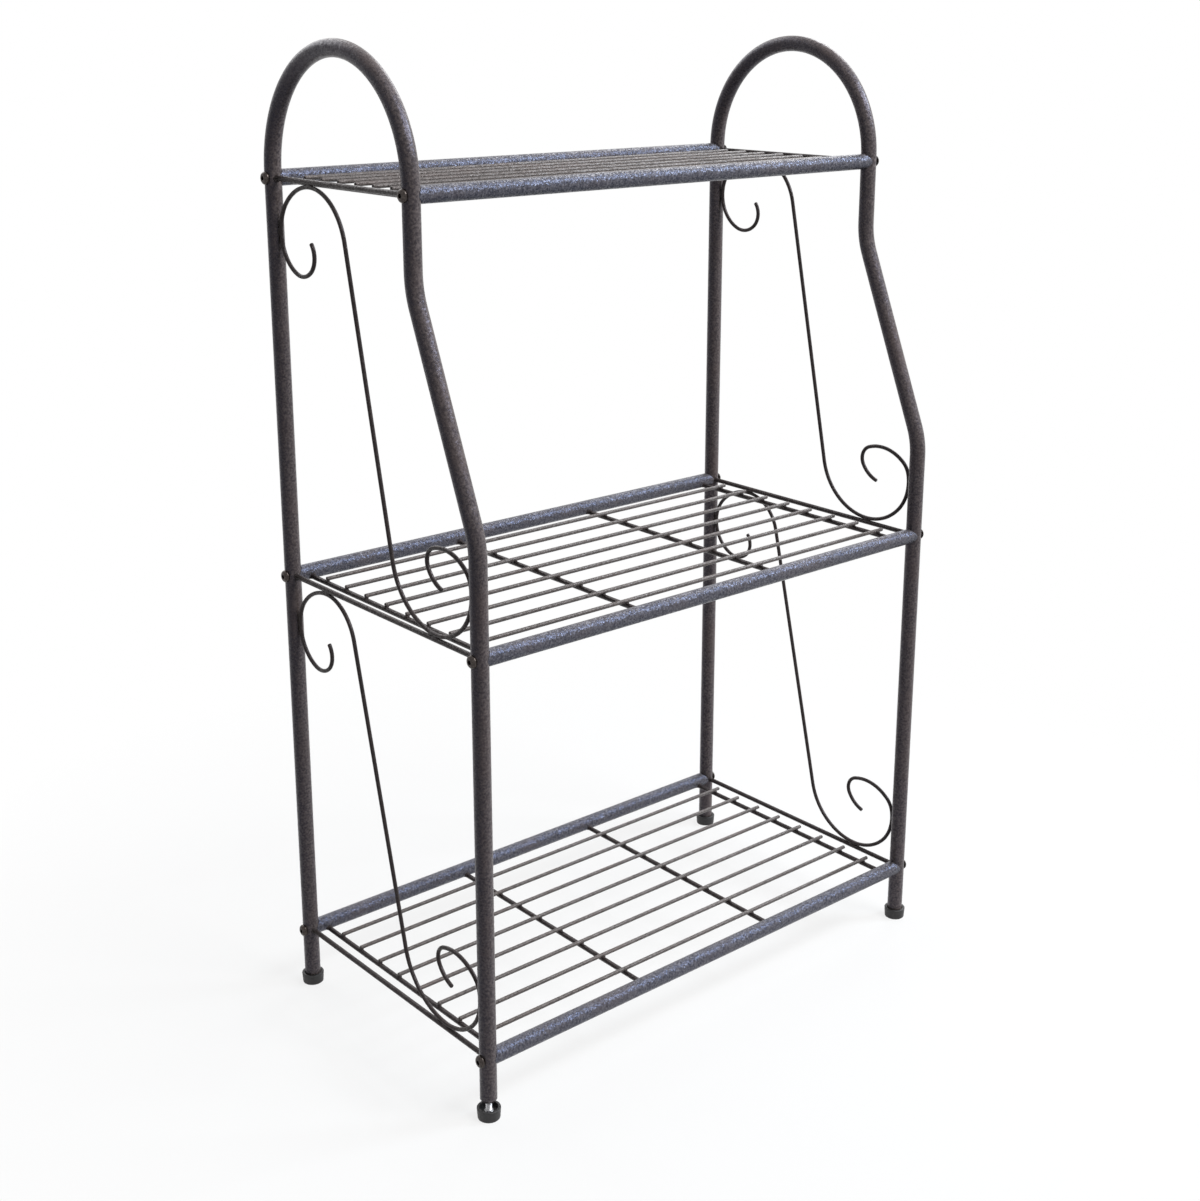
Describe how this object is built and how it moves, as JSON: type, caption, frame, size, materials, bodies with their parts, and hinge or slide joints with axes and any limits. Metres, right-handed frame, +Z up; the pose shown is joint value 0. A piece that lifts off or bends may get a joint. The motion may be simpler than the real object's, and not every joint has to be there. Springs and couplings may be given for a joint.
{
  "type": "tiered plant stand",
  "caption": "Tiered metal plant stand: wire shelves between bent-tube side frames with arched tops, scroll wires and levelling feet.",
  "frame": {"origin": "on the floor, in the middle of the four feet", "axes": "+X to the right along the shelves, +Y to the rear, +Z up"},
  "size_m": [0.5906, 0.3284, 0.9535],
  "materials": {
    "hammered_paint": "charcoal hammertone paint, satin with a fine-grained bluish sheen",
    "wire_paint": "charcoal hammertone paint on thin wire, satin",
    "bolt_steel": "black oxide, semi-gloss",
    "zinc_steel": "bright zinc plate",
    "black_plastic": "moulded, satin black"
  },
  "bodies": {
    "stand": {"left_frame_tube": "hammered_paint", "left_top_side_rod": "wire_paint", "left_middle_side_rod": "wire_paint", "left_bottom_side_rod": "wire_paint", "left_upper_scroll": "wire_paint", "left_lower_scroll": "wire_paint", "right_frame_tube": "hammered_paint", "right_top_side_rod": "wire_paint", "right_middle_side_rod": "wire_paint", "right_bottom_side_rod": "wire_paint", "right_upper_scroll": "wire_paint", "right_lower_scroll": "wire_paint", "top_shelf_front_rail": "hammered_paint", "top_shelf_rear_rail": "hammered_paint", "top_shelf_cross_wires": "wire_paint", "top_shelf_long_wires": "wire_paint", "top_shelf_bolts": "bolt_steel", "top_shelf_rail_nuts": "zinc_steel", "middle_shelf_front_rail": "hammered_paint", "middle_shelf_rear_rail": "hammered_paint", "middle_shelf_cross_wires": "wire_paint", "middle_shelf_long_wires": "wire_paint", "middle_shelf_bolts": "bolt_steel", "middle_shelf_rail_nuts": "zinc_steel", "bottom_shelf_front_rail": "hammered_paint", "bottom_shelf_rear_rail": "hammered_paint", "bottom_shelf_cross_wires": "wire_paint", "bottom_shelf_long_wires": "wire_paint", "bottom_shelf_bolts": "bolt_steel", "bottom_shelf_rail_nuts": "zinc_steel", "front_left_leg_plug": "hammered_paint", "front_right_leg_plug": "hammered_paint", "rear_left_leg_plug": "hammered_paint", "rear_right_leg_plug": "hammered_paint"},
    "front_left_stud": {"front_left_foot_stud": "zinc_steel"},
    "front_left_pad": {"front_left_foot_pad": "black_plastic"},
    "front_right_stud": {"front_right_foot_stud": "zinc_steel"},
    "front_right_pad": {"front_right_foot_pad": "black_plastic"},
    "rear_left_stud": {"rear_left_foot_stud": "zinc_steel"},
    "rear_left_pad": {"rear_left_foot_pad": "black_plastic"},
    "rear_right_stud": {"rear_right_foot_stud": "zinc_steel"},
    "rear_right_pad": {"rear_right_foot_pad": "black_plastic"}
  },
  "joints": [
    {"name": "front_left_foot_slide", "type": "slide", "parent": "stand", "child": "front_left_stud", "axis": [0, 0, 1], "range_m": [-0.005, 0.01]},
    {"name": "front_left_foot_turn", "type": "hinge", "parent": "front_left_stud", "child": "front_left_pad", "pos_m": [-0.284, -0.153, 0], "axis": [0, 0, 1], "range_deg": [-1800, 3600]},
    {"name": "front_right_foot_slide", "type": "slide", "parent": "stand", "child": "front_right_stud", "axis": [0, 0, 1], "range_m": [-0.015, 0]},
    {"name": "front_right_foot_turn", "type": "hinge", "parent": "front_right_stud", "child": "front_right_pad", "pos_m": [0.284, -0.153, 0], "axis": [0, 0, 1], "range_deg": [-5400, 0]},
    {"name": "rear_left_foot_slide", "type": "slide", "parent": "stand", "child": "rear_left_stud", "axis": [0, 0, 1], "range_m": [-0.015, 0]},
    {"name": "rear_left_foot_turn", "type": "hinge", "parent": "rear_left_stud", "child": "rear_left_pad", "pos_m": [-0.284, 0.153, 0], "axis": [0, 0, 1], "range_deg": [-5400, 0]},
    {"name": "rear_right_foot_slide", "type": "slide", "parent": "stand", "child": "rear_right_stud", "axis": [0, 0, 1], "range_m": [-0.015, 0]},
    {"name": "rear_right_foot_turn", "type": "hinge", "parent": "rear_right_stud", "child": "rear_right_pad", "pos_m": [0.284, 0.153, 0], "axis": [0, 0, 1], "range_deg": [-5400, 0]}
  ],
  "couplings": [
    {"joint": "front_left_foot_turn", "follows": "front_left_foot_slide", "rad_per_m": 6283.2},
    {"joint": "front_right_foot_turn", "follows": "front_right_foot_slide", "rad_per_m": 6283.2},
    {"joint": "rear_left_foot_turn", "follows": "rear_left_foot_slide", "rad_per_m": 6283.2},
    {"joint": "rear_right_foot_turn", "follows": "rear_right_foot_slide", "rad_per_m": 6283.2}
  ]
}
